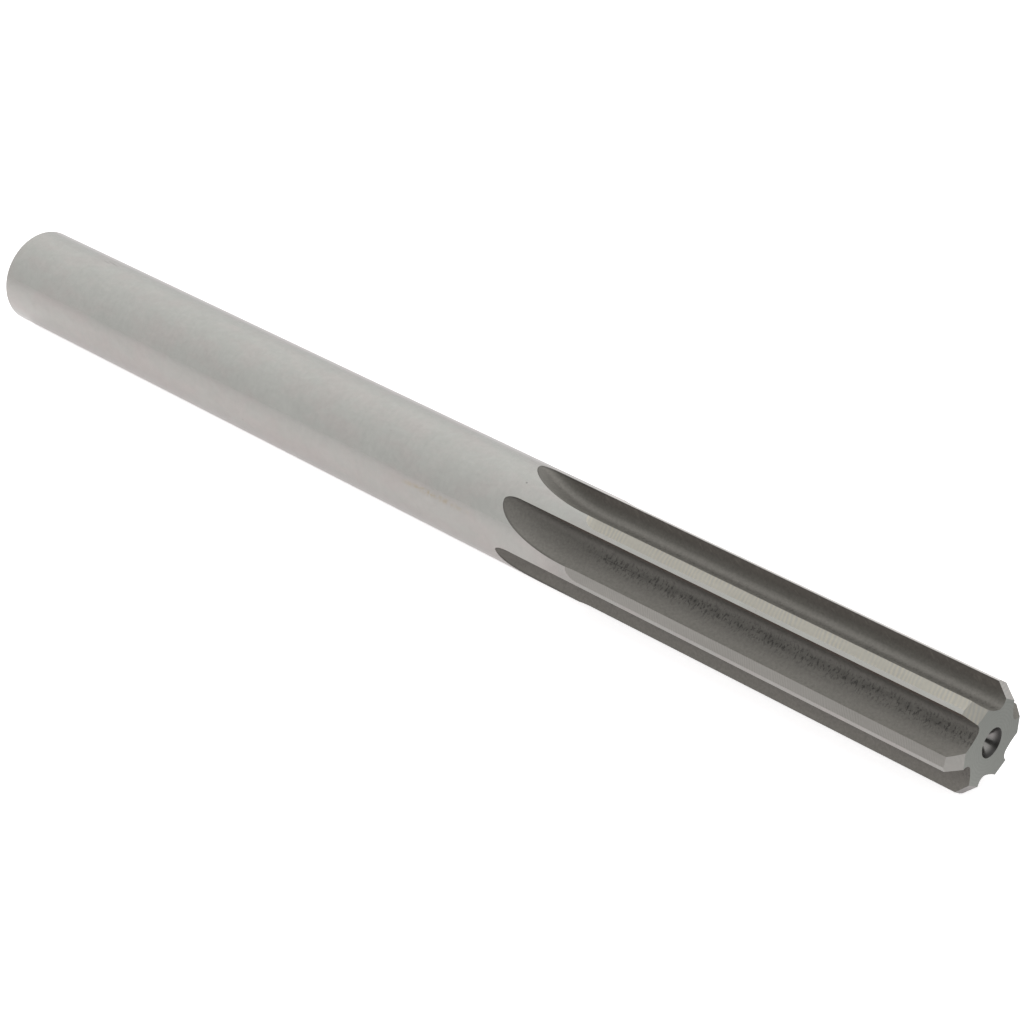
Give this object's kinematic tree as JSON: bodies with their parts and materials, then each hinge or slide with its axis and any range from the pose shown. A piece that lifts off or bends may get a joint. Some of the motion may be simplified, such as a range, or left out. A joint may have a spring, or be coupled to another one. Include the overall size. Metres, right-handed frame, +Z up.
{
  "type": "machine reamer",
  "caption": "Straight-shank machine reamer with straight flutes, narrow margins, flat reliefs and a 45 degree lead, ground from one bar to finish drilled holes to size.",
  "frame": {"origin": "centre of the cutting end's face, on the tool's axis", "axes": "+X along the tool's axis, out of the cutting end; +Z up as the tool lies on its side; the shank runs back along -X"},
  "size_m": [0.147, 0.012, 0.012],
  "materials": {
    "tool_steel": "fine cylindrical grinding on the shank and margins, cross-ground reliefs, darker matt flutes"
  },
  "bodies": {
    "root": {"reamer": "tool_steel"}
  },
  "joints": []
}
